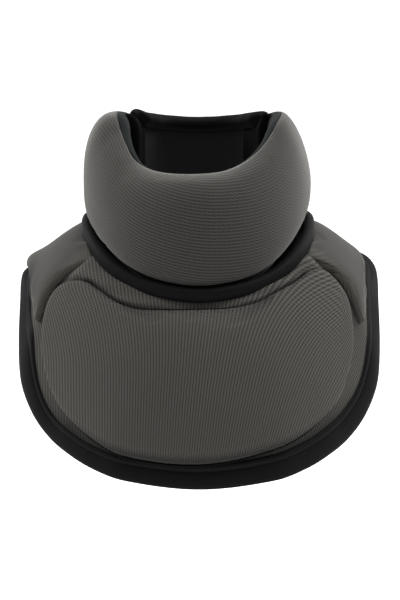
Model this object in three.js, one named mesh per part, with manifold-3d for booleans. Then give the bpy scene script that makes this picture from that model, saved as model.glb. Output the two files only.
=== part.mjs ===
// A padded neck protector for a goalkeeper. A thick foam collar covered in ribbed knit stands on a
// saddle-shaped bib that lies over the chest and shoulders. The collar is open behind, where a band
// with a rolled top edge and one closure tab join its two ends.
// Millimetres, +Z up, the wearer looks towards -Y. The origin is on the axis of the neck opening, at
// the height where the neckline meets the shoulders. A turn is an angle about that axis in degrees:
// 0 is the throat, +90 the side at +X and 180 the nape.
import * as THREE from "three";
import Module from "manifold-3d";
import { mergeVertices } from "three/addons/utils/BufferGeometryUtils.js";

const wasm = await Module();
wasm.setup();

// Fits
const CLEARANCE = 0.3; // between pieces that touch
const END_TURN = 130; // where the collar pad ends on each side of the nape

// Collar
const NECK_RADIUS = 62; // clear radius inside the lining
const LINING_THICKNESS = 2;
const COLLAR_WALL = 37.5; // greatest thickness of the foam
const COLLAR_RISE = 93; // height of the rim at the sides
const RIM_INSET = 8.7; // from the foam's inner wall out to the rim seam
const RIM_ROLL = 18; // height over which the inner wall rolls out to that seam
const END_ROUNDING = 14; // turn over which each end of the pad is rounded

// Neckline
const NECK_DIP = 49; // how far the neckline falls from the nape to the throat
const NECK_BINDING_HEIGHT = 12.6;
const NECK_BINDING_THICKNESS = 9.4;
const NECK_TUCK = 9; // from the neckline in to where the bib turns level
const FLANGE = 16; // level part of the bib under the collar

// Bib
const BIB_HALF_WIDTH = 162;
const BIB_REACH = 155; // from the neck's axis forward to the hem
const BACK_REACH = 67; // from the neck's axis back to the rear edge of the shoulders
const BIB_DROP = 204.6; // from the origin down to the hem
const PANEL_THICKNESS = 5;
const BIB_END_TURN = 133; // where the bib ends on each side of the nape
const EDGE_BINDING_WIDTH = 19;
const EDGE_BINDING_LIP = 3; // how far the binding stands out past the panel
const EDGE_BINDING_CLOTH = 2;

// Pads on the bib
const PAD_CROWN = 3; // how much higher a pad is at its middle
const CHEST_PAD_HEIGHT = 13;
const CHEST_PAD_ROUNDING = 11;
const SHOULDER_PAD_HEIGHT = 10.5;
const SHOULDER_PAD_ROUNDING = 13;

// Band and tab behind
const BAND_TURN = 106; // where the band starts on each side
const BAND_THICKNESS = 4;
const BAND_ROLL = 15; // diameter of the padded roll along its top
const BAND_FOOT = 6; // height of its lower edge over the origin
const TAB_TURN = 34; // half of the tab's sweep about the nape
const TAB_HEIGHT = 46;
const TAB_THICKNESS = 2.6;
const TAB_TUCK_SHARE = 0.1; // how far the tab reaches up beside the roll, in shares of the roll

// The neckline, the same on both sides. seat is a share of NECK_DIP below the origin, and girth a
// share of the collar's outer radius.
const NECKLINE = [
  { turn: 0, seat: 1.0, girth: 0.992 },
  { turn: 24, seat: 0.915, girth: 0.992 },
  { turn: 37, seat: 0.8, girth: 0.992 },
  { turn: 48, seat: 0.645, girth: 0.992 },
  { turn: 58, seat: 0.47, girth: 0.992 },
  { turn: 70, seat: 0.275, girth: 0.987 },
  { turn: 80, seat: 0.16, girth: 0.977 },
  { turn: 90, seat: 0.095, girth: 0.962 },
  { turn: 105, seat: 0.05, girth: 0.937 },
  { turn: 120, seat: 0.02, girth: 0.893 },
  { turn: 133, seat: 0.0, girth: 0.85 },
];

// The collar's rim, which dips at the throat. rim is a share of COLLAR_RISE, bulge a share of
// COLLAR_WALL, and fullness the power of the oval that the outside follows.
const COLLAR = [
  { turn: -130, rim: 0.88, bulge: 0.93, fullness: 2.1 },
  { turn: -112, rim: 0.96, bulge: 1.0, fullness: 2.2 },
  { turn: -95, rim: 1.0, bulge: 1.04, fullness: 2.35 },
  { turn: -80, rim: 0.985, bulge: 1.03, fullness: 2.3 },
  { turn: -68, rim: 0.84, bulge: 1.01, fullness: 2.2 },
  { turn: -57, rim: 0.72, bulge: 1.0, fullness: 2.2 },
  { turn: -46, rim: 0.62, bulge: 1.0, fullness: 2.2 },
  { turn: -30, rim: 0.567, bulge: 1.0, fullness: 2.2 },
  { turn: 0, rim: 0.565, bulge: 1.0, fullness: 2.2 },
  { turn: 20, rim: 0.595, bulge: 1.0, fullness: 2.2 },
  { turn: 38, rim: 0.69, bulge: 0.99, fullness: 2.05 },
  { turn: 55, rim: 0.83, bulge: 0.97, fullness: 1.9 },
  { turn: 68, rim: 0.955, bulge: 0.95, fullness: 1.75 },
  { turn: 80, rim: 1.0, bulge: 0.94, fullness: 1.6 },
  { turn: 95, rim: 1.0, bulge: 0.94, fullness: 1.6 },
  { turn: 112, rim: 0.96, bulge: 0.95, fullness: 1.9 },
  { turn: 130, rim: 0.88, bulge: 0.93, fullness: 2.1 },
];

// The bib's outer edge and the arch of its surface, the same on both sides. side is a share of
// BIB_HALF_WIDTH, front of BIB_REACH, back of BACK_REACH and drop of BIB_DROP. out and down say how
// far along that way out and down the surface turns over.
const BIB = [
  { turn: 0, side: 0, front: 1, back: 0, drop: 1, out: 0.66, down: 0.15 },
  { turn: 24, side: 0.394, front: 0.925, back: 0, drop: 0.982, out: 0.66, down: 0.15 },
  { turn: 36, side: 0.57, front: 0.819, back: 0, drop: 0.956, out: 0.67, down: 0.15 },
  { turn: 46, side: 0.702, front: 0.708, back: 0, drop: 0.919, out: 0.69, down: 0.15 },
  { turn: 55, side: 0.809, front: 0.592, back: 0, drop: 0.875, out: 0.72, down: 0.16 },
  { turn: 63, side: 0.902, front: 0.48, back: 0, drop: 0.8, out: 0.76, down: 0.18 },
  { turn: 70, side: 0.969, front: 0.368, back: 0, drop: 0.69, out: 0.8, down: 0.22 },
  { turn: 76, side: 0.988, front: 0.257, back: 0, drop: 0.56, out: 0.84, down: 0.45 },
  { turn: 86, side: 0.991, front: 0.072, back: 0, drop: 0.39, out: 0.85, down: 0.64 },
  { turn: 96, side: 0.994, front: 0, back: 0.252, drop: 0.345, out: 0.84, down: 0.71 },
  { turn: 101, side: 0.963, front: 0, back: 0.452, drop: 0.335, out: 0.82, down: 0.73 },
  { turn: 107, side: 0.885, front: 0, back: 0.655, drop: 0.32, out: 0.78, down: 0.74 },
  { turn: 115, side: 0.772, front: 0, back: 0.87, drop: 0.285, out: 0.72, down: 0.72 },
  { turn: 122, side: 0.639, front: 0, back: 0.965, drop: 0.23, out: 0.66, down: 0.68 },
  { turn: 128, side: 0.525, front: 0, back: 0.992, drop: 0.165, out: 0.6, down: 0.62 },
  { turn: 133, side: 0.438, front: 0, back: 0.987, drop: 0.11, out: 0.55, down: 0.58 },
];

// Pad outlines on the bib, walked once round. run is the share of the way from the neckline to the
// bib's edge.
const CHEST_PAD = [
  { turn: 0, run: 0.172 },
  { turn: 20, run: 0.178 },
  { turn: 36, run: 0.21 },
  { turn: 48, run: 0.222 },
  { turn: 56, run: 0.235 },
  { turn: 61, run: 0.27 },
  { turn: 65, run: 0.34 },
  { turn: 66.5, run: 0.43 },
  { turn: 66.5, run: 0.53 },
  { turn: 66, run: 0.61 },
  { turn: 64, run: 0.7 },
  { turn: 60, run: 0.775 },
  { turn: 54, run: 0.835 },
  { turn: 46, run: 0.875 },
  { turn: 36, run: 0.895 },
  { turn: 22, run: 0.905 },
  { turn: 0, run: 0.915 },
];
const SHOULDER_PAD = [
  { turn: 60.5, run: 0.14 },
  { turn: 64.5, run: 0.24 },
  { turn: 67, run: 0.34 },
  { turn: 68.7, run: 0.44 },
  { turn: 68.9, run: 0.54 },
  { turn: 69, run: 0.61 },
  { turn: 70.5, run: 0.665 },
  { turn: 74, run: 0.68 },
  { turn: 80, run: 0.67 },
  { turn: 88, run: 0.7 },
  { turn: 97, run: 0.74 },
  { turn: 106, run: 0.72 },
  { turn: 112, run: 0.67 },
  { turn: 116, run: 0.57 },
  { turn: 117, run: 0.44 },
  { turn: 113, run: 0.31 },
  { turn: 104, run: 0.22 },
  { turn: 92, run: 0.17 },
  { turn: 80, run: 0.14 },
  { turn: 69, run: 0.115 },
  { turn: 63, run: 0.11 },
];

// The band behind the neck. reach is a share of NECK_RADIUS and top a share of COLLAR_RISE.
const BAND = [
  { turn: 106, reach: 0.985, top: 0.985 },
  { turn: 112, reach: 0.985, top: 0.98 },
  { turn: 122, reach: 0.985, top: 0.95 },
  { turn: 131, reach: 0.985, top: 0.92 },
  { turn: 141, reach: 1.01, top: 0.885 },
  { turn: 152, reach: 1.01, top: 0.865 },
  { turn: 166, reach: 0.985, top: 0.858 },
  { turn: 180, reach: 0.975, top: 0.855 },
];

const padInner = NECK_RADIUS + LINING_THICKNESS + CLEARANCE;
const padOuter = padInner + COLLAR_WALL;
const rimSeam = padInner + RIM_INSET;

const radians = THREE.MathUtils.degToRad;
const blend = THREE.MathUtils.lerp;
const steps = (count) => Array.from({ length: count + 1 }, (_, i) => i / count);
const span = (from, to, count) => steps(count).map((share) => blend(from, to, share));

// Turns at which every piece that runs round the collar has a section, so that faces that lie on
// each other keep their clearance.
const TURNS = span(-END_TURN, END_TURN, 42);

// One column of a table at a turn, as a smooth curve through its rows. The curve leaves its first
// row level, unless it starts from zero.
function read(rows, name, turn) {
  const last = rows.length - 1;
  const slope = (i) => {
    if (i === 0 && rows[0][name] !== 0) return 0;
    const before = rows[Math.max(i - 1, 0)];
    const after = rows[Math.min(i + 1, last)];
    return (after[name] - before[name]) / (after.turn - before.turn);
  };
  const found = rows.findIndex((row) => row.turn >= turn);
  const i = Math.max((found < 0 ? last : found) - 1, 0);
  const width = rows[i + 1].turn - rows[i].turn;
  const t = THREE.MathUtils.clamp((turn - rows[i].turn) / width, 0, 1);
  const ease = t * t * (3 - 2 * t);
  return (
    (1 - ease) * rows[i][name] +
    ease * rows[i + 1][name] +
    width * t * (1 - t) * ((1 - t) * slope(i) - t * slope(i + 1))
  );
}

// A point at a turn, a radius from the neck's axis and a height.
function polar(turn, radius, height) {
  const angle = radians(turn);
  return new THREE.Vector3(radius * Math.sin(angle), -radius * Math.cos(angle), height);
}

// A quarter of an oval with the given power, from the end of its first half axis to the second's.
function quarterOval(power, count) {
  return span(0, Math.PI / 2, count).map((angle) => [
    Math.cos(angle) ** (2 / power),
    Math.sin(angle) ** (2 / power),
  ]);
}

const necklineRadius = (turn) => padOuter * read(NECKLINE, "girth", Math.abs(turn));
const necklineHeight = (turn) => -NECK_DIP * read(NECKLINE, "seat", Math.abs(turn));
const flangeHeight = (turn) => necklineHeight(turn) - 1.5;
const rimHeight = (turn) => COLLAR_RISE * read(COLLAR, "rim", turn);

// The bib's upper surface at a turn: run goes from 0 at the neckline to 1 at the outer edge.
function bibArch(turn) {
  const at = (name) => read(BIB, name, Math.abs(turn));
  const start = polar(turn, necklineRadius(turn) - NECK_TUCK, flangeHeight(turn));
  const end = new THREE.Vector3(
    Math.sign(turn) * BIB_HALF_WIDTH * at("side"),
    BACK_REACH * at("back") - BIB_REACH * at("front"),
    -BIB_DROP * at("drop"),
  );
  const corner = new THREE.Vector3(
    blend(start.x, end.x, at("out")),
    blend(start.y, end.y, at("out")),
    blend(start.z, end.z, at("down")),
  );
  return new THREE.QuadraticBezierCurve3(start, corner, end);
}

// A point at a height over that surface.
function bibPoint(turn, run, height) {
  const little = 0.4;
  const along = bibArch(turn).getTangent(run);
  const round = bibArch(turn + little).getPoint(run).sub(bibArch(turn - little).getPoint(run));
  const normal = along.cross(round).normalize();
  return bibArch(turn).getPoint(run).addScaledVector(normal, height);
}

// Runs at which the panel and the binding on its edge both have points, from the neck outwards.
// The binding is narrower where the bib is short, over the shoulders.
function bibRuns(turn) {
  const arch = bibArch(turn);
  const perMillimetre = 1 / (2 * arch.v2.distanceTo(arch.v1));
  const edge = 1 - EDGE_BINDING_LIP * perMillimetre;
  const lap = Math.max(edge - (EDGE_BINDING_WIDTH - EDGE_BINDING_LIP) * perMillimetre, 0.78);
  return {
    free: span(0, lap, 8),
    lapped: [lap, (lap + edge) / 2, edge],
    slot: edge + CLEARANCE * perMillimetre,
  };
}

// A closed solid from points and faces, with every face turned outwards.
function body(points, index) {
  let volume = 0;
  for (let i = 0; i < index.length; i += 3) {
    const [a, b, c] = index.slice(i, i + 3).map((corner) => points[corner]);
    volume += a.dot(b.clone().cross(c));
  }
  const faces = volume < 0 ? [...index].reverse() : index;
  const geometry = new THREE.BufferGeometry();
  const positions = points.flatMap((point) => point.toArray());
  geometry.setAttribute("position", new THREE.Float32BufferAttribute(positions, 3));
  geometry.setIndex(faces);
  return geometry;
}

// Faces of a tube between rings that each hold the same number of points.
function tube(ringCount, size) {
  return steps(ringCount - 2).flatMap((_, ring) =>
    Array.from({ length: size }, (__, i) => {
      const a = ring * size + i;
      const b = ring * size + ((i + 1) % size);
      return [a, b, a + size, b, b + size, a + size];
    }).flat(),
  );
}

// A solid through rings of points. ends holds the flat shape of the rings, which closes them.
function loft(rings, ends) {
  const size = ends.length;
  const far = (rings.length - 1) * size;
  const shape = ends.map(([x, y]) => new THREE.Vector2(x, y));
  const forward = THREE.ShapeUtils.isClockWise(shape);
  const lids = THREE.ShapeUtils.triangulateShape(forward ? [...shape].reverse() : shape, [])
    .map((face) => (forward ? face.map((i) => size - 1 - i).reverse() : face))
    .flatMap(([a, b, c]) => [a, c, b, far + a, far + b, far + c]);
  return body(rings.flat(), [...tube(rings.length, size), ...lids]);
}

// A geometry as a solid that can be cut, and a cut solid as a geometry.
function solid(geometry) {
  const merged = mergeVertices(geometry, 1e-3);
  return new wasm.Manifold(
    new wasm.Mesh({
      numProp: 3,
      vertProperties: merged.getAttribute("position").array,
      triVerts: new Uint32Array(merged.index.array),
    }),
  );
}
function geometryOf(cut) {
  const mesh = cut.getMesh();
  const geometry = new THREE.BufferGeometry();
  geometry.setAttribute("position", new THREE.BufferAttribute(mesh.vertProperties, 3));
  geometry.setIndex(new THREE.BufferAttribute(mesh.triVerts, 1));
  return geometry;
}

// 1 along the collar, falling where its pad is rounded off behind.
function endShare(turn) {
  const past = (Math.abs(turn) - (END_TURN - END_ROUNDING)) / END_ROUNDING;
  return past > 0 ? Math.sqrt(1 - 0.9 * past * past) : 1;
}

// The collar's inner wall at an offset into the neck opening: up from the foot, then rolled out.
function innerWall(turn, offset) {
  const foot = flangeHeight(turn) - 1;
  const spring = rimHeight(turn) - RIM_ROLL;
  const upright = span(foot, spring, 2).slice(0, -1).map((height) => [padInner - offset, height]);
  const roll = quarterOval(2, 5).map(([across, up]) => [
    rimSeam - (RIM_INSET + offset) * across,
    spring + (RIM_ROLL - 2.5 + offset) * up,
  ]);
  return [...upright, ...roll];
}

// Collar pad: thick foam under knit, bulging at the sides and tucked in over the neck binding.
function collarSection(turn) {
  const foot = flangeHeight(turn) - 1;
  const waistFoot = necklineHeight(turn) + 7;
  const rim = rimHeight(turn);
  const full = padInner + COLLAR_WALL * read(COLLAR, "bulge", turn);
  const bulge = blend(rimSeam + 6, full, endShare(turn));
  const tuck = Math.max(bulge - 14, rimSeam);
  const waist = blend(waistFoot, rim, 0.33);
  const upper = quarterOval(read(COLLAR, "fullness", turn), 7)
    .reverse()
    .map(([across, up]) => [blend(rimSeam, bulge, across), blend(waist, rim, up)]);
  const lower = quarterOval(2.2, 5)
    .slice(1)
    .map(([across, down]) => [blend(tuck, bulge, across), blend(waist, waistFoot, down)]);
  const heel = Math.min(tuck - 2, necklineRadius(turn) - NECK_TUCK - 1);
  return [...innerWall(turn, 0), ...upper, ...lower, [heel, foot]];
}

// Lining: a cloth skin over the inside of the collar pad.
function liningSection(turn) {
  const back = innerWall(turn, CLEARANCE);
  const face = innerWall(turn, CLEARANCE + LINING_THICKNESS);
  const underSeam = ([radius, height]) => [Math.min(radius, rimSeam - CLEARANCE), height];
  return [...back, ...face.reverse()].map(underSeam);
}

// Neck binding: a stuffed roll of cloth over the seam between collar and bib.
function neckBindingSection(turn) {
  const around = steps(13).slice(0, -1).map((share) => 2 * Math.PI * share);
  return around.map((angle) => [
    necklineRadius(turn) + (NECK_BINDING_THICKNESS / 2) * Math.cos(angle),
    necklineHeight(turn) + (NECK_BINDING_HEIGHT / 2) * Math.sin(angle),
  ]);
}

function sweep(sectionAt) {
  const rings = TURNS.map((turn) => sectionAt(turn).map(([r, z]) => polar(turn, r, z)));
  return loft(rings, sectionAt(END_TURN));
}

// Bib panel: padded cloth draped from the neckline over chest and shoulders, with a flat flange
// under the collar. The same shape, thicker, cuts what lies on it.
const BIB_TURNS = [-BIB_END_TURN, ...TURNS, BIB_END_TURN];
function panel(over, under) {
  const ring = (turn) => {
    const { free, lapped } = bibRuns(turn);
    const runs = [...free, ...lapped.slice(1)];
    const reach = Math.max(necklineRadius(turn) - NECK_TUCK - FLANGE, padInner + 3) - over;
    const flange = (height) => polar(turn, reach, flangeHeight(turn) + height);
    return [
      flange(over),
      ...runs.map((run) => bibPoint(turn, run, over)),
      ...runs.reverse().map((run) => bibPoint(turn, run, -under)),
      flange(-under),
    ];
  };
  const ends = [...span(0, 11, 11).map((x) => [x, 1]), ...span(11, 0, 11).map((x) => [x, 0])];
  return loft(BIB_TURNS.map(ring), ends);
}

// Edge binding: a channel of cloth that grips the panel's edge from hem to shoulders.
function edgeBinding() {
  const skin = CLEARANCE + EDGE_BINDING_CLOTH;
  const ring = (turn) => {
    const { lapped, slot } = bibRuns(turn);
    const [lap, middle, edge] = lapped;
    const over = (run, height) => bibPoint(turn, run, height);
    const under = (run, height) => bibPoint(turn, run, -PANEL_THICKNESS - height);
    return [
      ...[...lapped, slot].map((run) => over(run, CLEARANCE)),
      ...[slot, ...[...lapped].reverse()].map((run) => under(run, CLEARANCE)),
      under(lap, skin),
      under(middle, skin),
      under(edge, skin * 0.8),
      bibPoint(turn, 1, -PANEL_THICKNESS / 2),
      over(edge, skin * 0.8),
      over(middle, skin),
      over(lap, skin),
    ];
  };
  const channel = [
    [0, 6], [5, 6], [10, 6], [10.5, 6],
    [10.5, 1], [10, 1], [5, 1], [0, 1],
    [0, 0], [5, 0], [11, 0], [13, 3.5], [11, 7], [5, 7], [0, 7],
  ];
  return loft(BIB_TURNS.map(ring), channel);
}

// A closed outline of turns and runs, rounded through the rows of its table.
function outline(rows, count) {
  const knots = rows.map(({ turn, run }) => new THREE.Vector3(turn, 100 * run, 0));
  const curve = new THREE.CatmullRomCurve3(knots, true, "catmullrom", 0.5);
  return curve.getSpacedPoints(count).slice(1).map(({ x, y }) => ({ turn: x, run: y / 100 }));
}
const mirrored = (rows) => rows.map(({ turn, run }) => ({ turn: -turn, run })).reverse();

// A stuffed pad on the bib. Rings step in from its outline, steeply at first and then level, and
// the same rings below give its underside, which is cut to the panel.
const PAD_STEPS = [0, 0.1, 0.35, 0.75, 1.2];
function pad(rows, centre, rounding, height, seat) {
  const edge = outline(rows, 42);
  const middle = bibPoint(centre.turn, centre.run, 0);
  const stepIn = (point, inset, share) => {
    const reach = inset / bibPoint(point.turn, point.run, 0).distanceTo(middle);
    const whole = blend(reach, 1, share);
    return [blend(point.turn, centre.turn, whole), blend(point.run, centre.run, whole)];
  };
  const ringAt = (inset, share, up) =>
    edge.map((point) => bibPoint(...stepIn(point, inset, share), up));
  const last = PAD_STEPS.at(-1) * rounding;
  const crown = PAD_STEPS.map((step) => {
    const level = Math.sqrt(1 - (1 - Math.min(step, 1)) ** 2);
    return ringAt(step * rounding, 0, 1 + (height - 1) * level);
  });
  const shares = [0.12, 0.28, 0.5, 0.75];
  const rings = [
    ...shares.map((share) => ringAt(last, share, -2)).reverse(),
    ringAt(last, 0, -2),
    ringAt(0, 0, -2),
    ...crown,
    ...shares.map((share) => ringAt(last, share, height + PAD_CROWN * share)),
  ];
  const size = edge.length;
  const count = rings.length * size;
  const low = bibPoint(centre.turn, centre.run, -2);
  const high = bibPoint(centre.turn, centre.run, height + PAD_CROWN);
  const lids = edge.flatMap((_, i) => {
    const next = (i + 1) % size;
    return [next, i, count, count - size + i, count - size + next, count + 1];
  });
  const stuffed = body([...rings.flat(), low, high], [...tube(rings.length, size), ...lids]);
  return geometryOf(solid(stuffed).subtract(seat));
}

// Band behind the neck: an upright strip inside the lining, with a padded roll along its top.
const BAND_TURNS = span(BAND_TURN, 360 - BAND_TURN, 26);
const bandRow = (turn) => (turn > 180 ? 360 - turn : turn);
const bandFace = (turn) => NECK_RADIUS * read(BAND, "reach", bandRow(turn));
const bandTop = (turn) => COLLAR_RISE * read(BAND, "top", bandRow(turn));
function around(turns, sectionAt) {
  const rings = turns.map((turn) => sectionAt(turn).map(([r, z]) => polar(turn, r, z)));
  return loft(rings, sectionAt(turns[0]));
}
function bandSection(turn) {
  const face = bandFace(turn);
  const top = bandTop(turn) - BAND_ROLL / 2;
  return [
    [face - BAND_THICKNESS, BAND_FOOT],
    [face, BAND_FOOT],
    [face, top],
    [face - BAND_THICKNESS, top],
  ];
}
const rollSection = (over) => (turn) => {
  const middle = bandFace(turn) - BAND_THICKNESS * 1.2;
  const radius = BAND_ROLL / 2 + over;
  return steps(12).slice(0, -1).map((share) => [
    middle + radius * Math.cos(2 * Math.PI * share),
    bandTop(turn) - BAND_ROLL / 2 + radius * Math.sin(2 * Math.PI * share),
  ]);
};

// Closure tab: a flat cloth patch on the outside of the band at the nape, hung from the roll.
function tabSection(turn) {
  const face = bandFace(turn) + CLEARANCE;
  const top = bandTop(180) - BAND_ROLL * (1 - TAB_TUCK_SHARE);
  return [
    [face, top - TAB_HEIGHT],
    [face + TAB_THICKNESS, top - TAB_HEIGHT],
    [face + TAB_THICKNESS, top],
    [face, top],
  ];
}

const knit = { color: 0x4a4843, roughness: 0.85, metalness: 0 };
const blackCloth = { color: 0x141415, roughness: 0.8, metalness: 0 };
const slateCloth = { color: 0x2b2f30, roughness: 0.9, metalness: 0 };
const neoprene = { color: 0x0f1011, roughness: 0.75, metalness: 0 };

const protector = new THREE.Group();
function add(name, geometry, finish) {
  const mesh = new THREE.Mesh(geometry, new THREE.MeshStandardMaterial(finish));
  mesh.name = name;
  protector.add(mesh);
}

const seat = solid(panel(CLEARANCE, 6));
const chestOutline = [...CHEST_PAD, ...mirrored(CHEST_PAD).slice(1, -1)];
const chestCentre = { turn: 0, run: 0.55 };
const shoulderCentre = (side) => ({ turn: side * 92, run: 0.5 });

add("collar_pad", geometryOf(solid(sweep(collarSection)).subtract(seat)), knit);
add("collar_lining", sweep(liningSection), slateCloth);
add("neck_binding", geometryOf(solid(sweep(neckBindingSection)).subtract(seat)), blackCloth);
add("bib_panel", panel(0, PANEL_THICKNESS), knit);
add("edge_binding", edgeBinding(), blackCloth);
add("chest_pad", pad(chestOutline, chestCentre, CHEST_PAD_ROUNDING, CHEST_PAD_HEIGHT, seat), knit);
[
  ["shoulder_pad_left", -1],
  ["shoulder_pad_right", 1],
].forEach(([name, side]) => {
  const rows = side < 0 ? mirrored(SHOULDER_PAD) : SHOULDER_PAD;
  const centre = shoulderCentre(side);
  add(name, pad(rows, centre, SHOULDER_PAD_ROUNDING, SHOULDER_PAD_HEIGHT, seat), knit);
});
const seatTurns = [BAND_TURN - 2, ...BAND_TURNS, 362 - BAND_TURN]; // past both ends of the band
const rollSeat = solid(around(seatTurns, rollSection(CLEARANCE)));
add("rear_band", geometryOf(solid(around(BAND_TURNS, bandSection)).subtract(rollSeat)), neoprene);
add("rear_roll", around(BAND_TURNS, rollSection(0)), neoprene);
add("closure_tab", around(span(180 - TAB_TURN, 180 + TAB_TURN, 12), tabSection), neoprene);

export default protector;
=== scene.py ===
# %% [markdown]
# # A goalkeeper's neck protector
#
# A thick foam collar covered in ribbed knit stands on a bib that lies over the chest and shoulders.
# This lesson dresses the measured model of it: every soft solid there is replaced by a finer piece
# with real cloth on it. Lengths are in metres, +Z is up and the wearer looks towards -Y.

# %% Load the measured model
import math

import bmesh
import bpy
import numpy as np
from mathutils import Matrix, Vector


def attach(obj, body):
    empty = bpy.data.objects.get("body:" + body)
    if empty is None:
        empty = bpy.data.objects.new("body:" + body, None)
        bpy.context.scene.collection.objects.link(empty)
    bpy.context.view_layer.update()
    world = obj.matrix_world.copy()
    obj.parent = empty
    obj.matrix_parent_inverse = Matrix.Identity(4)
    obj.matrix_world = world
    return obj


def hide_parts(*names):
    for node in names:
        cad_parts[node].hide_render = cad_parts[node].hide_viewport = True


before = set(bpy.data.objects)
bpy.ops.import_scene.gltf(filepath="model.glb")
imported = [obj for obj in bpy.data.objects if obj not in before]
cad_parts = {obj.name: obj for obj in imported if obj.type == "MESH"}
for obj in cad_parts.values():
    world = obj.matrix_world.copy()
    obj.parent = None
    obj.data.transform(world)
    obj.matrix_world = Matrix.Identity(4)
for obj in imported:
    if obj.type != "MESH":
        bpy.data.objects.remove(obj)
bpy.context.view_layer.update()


def new_object(name, data):
    """An object at the origin, in the scene."""
    made = bpy.data.objects.new(name, data)
    bpy.context.scene.collection.objects.link(made)
    return made


def set_inputs(node, **values):
    """Set the inputs of a node by name, with _ for each space."""
    for name, value in values.items():
        node.inputs[name.replace("_", " ")].default_value = value

# %% [markdown]
# ## Camera
#
# The photograph looks down on the protector by 15 degrees from well in front. A long lens keeps the
# sides of the bib from spreading, so the camera stands far back and its lens is long too.

# %% Camera
CAMERA_TILT = math.radians(15)
camera_data = bpy.data.cameras.new("camera")
camera_data.lens = 120
camera_data.sensor_width = 36
camera = new_object("camera", camera_data)
camera.location = (0.00063, -1.7585, 0.392)
camera.rotation_euler = (math.radians(90) - CAMERA_TILT, 0, 0)
bpy.context.scene.camera = camera
print("camera at", tuple(round(v, 3) for v in camera.location))

# %% [markdown]
# ## Light and ground
#
# The product was shot in a white studio whose walls are darker on the camera's side, so the cloth
# is darkest where it faces us. A large soft light above models the top of the collar and the
# shoulders, weak ones at both sides brighten the outlines, and a pale floor far below throws light
# back up without taking a shadow.

# %% Light and ground
FLOOR_HALF = 30
FLOOR_HEIGHT = -0.6


def soft_light(name, place, size, power):
    """A round soft light aimed at the origin."""
    data = bpy.data.lights.new(name, "AREA")
    data.shape = "DISK"
    data.size = size
    data.energy = power
    light = new_object(name, data)
    light.location = place
    light.rotation_euler = (-Vector(place)).to_track_quat("-Z", "Y").to_euler()


soft_light("top_light", (0.25, 0.35, 1.9), 1.3, 36)
soft_light("left_light", (-1.6, 0.5, 1.0), 1.0, 22)
soft_light("right_light", (1.6, 0.5, 1.1), 1.0, 26)

world = bpy.data.worlds.new("studio")
world.use_nodes = True
sky = world.node_tree.nodes
direction = sky.new("ShaderNodeTexCoord")
depth = sky.new("ShaderNodeSeparateXYZ")
dimmed = sky.new("ShaderNodeMapRange")
set_inputs(dimmed, From_Min=-0.6, From_Max=0.1, To_Min=0.45, To_Max=1.0)
world.node_tree.links.new(direction.outputs["Generated"], depth.inputs[0])
world.node_tree.links.new(depth.outputs["Y"], dimmed.inputs["Value"])
world.node_tree.links.new(dimmed.outputs[0], sky["Background"].inputs["Strength"])
set_inputs(sky["Background"], Color=(1, 1, 1, 1))
bpy.context.scene.world = world
bpy.context.scene.view_settings.view_transform = "Standard"

floor_mesh = bpy.data.meshes.new("floor")
signs = ((-1, -1), (1, -1), (1, 1), (-1, 1))
corners = [(x * FLOOR_HALF, y * FLOOR_HALF, FLOOR_HEIGHT) for x, y in signs]
floor_mesh.from_pydata(corners, [], [(0, 1, 2, 3)])
floor = new_object("floor", floor_mesh)
floor_paint = bpy.data.materials.new("pale_floor")
floor_paint.use_nodes = True
set_inputs(
    floor_paint.node_tree.nodes["Principled BSDF"],
    Base_Color=(0.7, 0.7, 0.7, 1), Roughness=0.9, Specular_IOR_Level=0.1,
    Emission_Color=(1, 1, 1, 1), Emission_Strength=0.6,
)
floor_mesh.materials.append(floor_paint)

# %% [markdown]
# ## The pattern pieces' measures
#
# A tailor works from a few measures taken round the body, and so does this model. Each table walks
# round the neck by the turn about its axis: 0 is the throat, +90 the side at +X and 180 the nape.
# Between its rows a smooth curve is read, which leaves the throat level because both halves of the
# pattern meet there.

# %% Measures of the collar and the neckline
NECK_RADIUS = 0.062
LINING_THICKNESS = 0.002
CLEARANCE = 0.0003
COLLAR_WALL = 0.0375
COLLAR_RISE = 0.093
RIM_INSET = 0.0087
RIM_ROLL = 0.018
COLLAR_END = 130
END_ROUNDING = 14
NECK_DIP = 0.049
PAD_INNER = NECK_RADIUS + LINING_THICKNESS + CLEARANCE
RIM_SEAM = PAD_INNER + RIM_INSET

NECKLINE = {
    "turn": [0, 24, 37, 48, 58, 70, 80, 90, 105, 120, 133],
    "seat": [1.0, 0.915, 0.8, 0.645, 0.47, 0.275, 0.16, 0.095, 0.05, 0.02, 0.0],
    "girth": [0.992, 0.992, 0.992, 0.992, 0.992, 0.987, 0.977, 0.962, 0.937, 0.893, 0.85],
}
COLLAR = {
    "turn": [-130, -112, -95, -80, -68, -57, -46, -30, 0, 20, 38, 55, 68, 80, 95, 112, 130],
    "rim": [0.88, 0.96, 1.0, 0.985, 0.84, 0.72, 0.62, 0.567, 0.565, 0.595, 0.69, 0.83, 0.955, 1.0,
            1.0, 0.96, 0.88],
    "bulge": [0.93, 1.0, 1.04, 1.03, 1.01, 1.0, 1.0, 1.0, 1.0, 1.0, 0.99, 0.97, 0.95, 0.94, 0.94,
              0.95, 0.93],
    "fullness": [2.1, 2.2, 2.35, 2.3, 2.2, 2.2, 2.2, 2.2, 2.2, 2.2, 2.05, 1.9, 1.75, 1.6, 1.6,
                 1.9, 2.1],
}


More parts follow.
